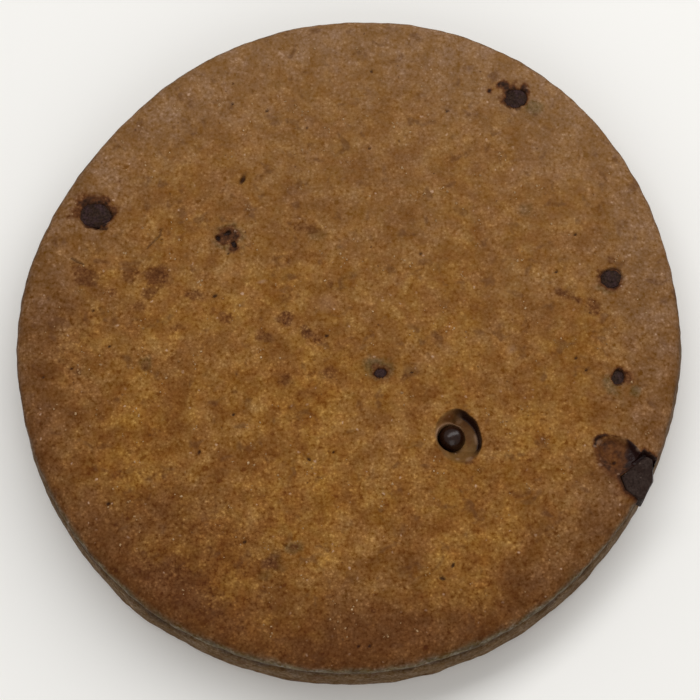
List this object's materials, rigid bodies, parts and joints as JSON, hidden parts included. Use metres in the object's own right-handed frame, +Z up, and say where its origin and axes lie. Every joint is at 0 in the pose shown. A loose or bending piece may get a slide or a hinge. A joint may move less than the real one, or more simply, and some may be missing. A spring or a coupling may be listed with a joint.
{
  "type": "chocolate chip cookie",
  "caption": "Round, flat-topped baked cookie of golden brown dough with pieces of dark chocolate set in its top and edge.",
  "frame": {"origin": "middle of the bounding box on the flat underside", "axes": "+Z up through the thickness, +X to the right and +Y away from the viewer in the picture"},
  "size_m": [0.0707, 0.072, 0.0091],
  "materials": {
    "baked_dough": "matt, fine-grained golden brown crust",
    "dark_chocolate": "half-gloss dark chocolate with a faint bloom"
  },
  "bodies": {
    "root": {"dough": "baked_dough", "chip_left_edge": "dark_chocolate", "chip_upper_left": "dark_chocolate", "chip_upper_right": "dark_chocolate", "chip_right": "dark_chocolate", "chip_lower_right": "dark_chocolate", "chip_middle": "dark_chocolate", "chip_round": "dark_chocolate", "chunk_edge": "dark_chocolate"}
  },
  "joints": []
}
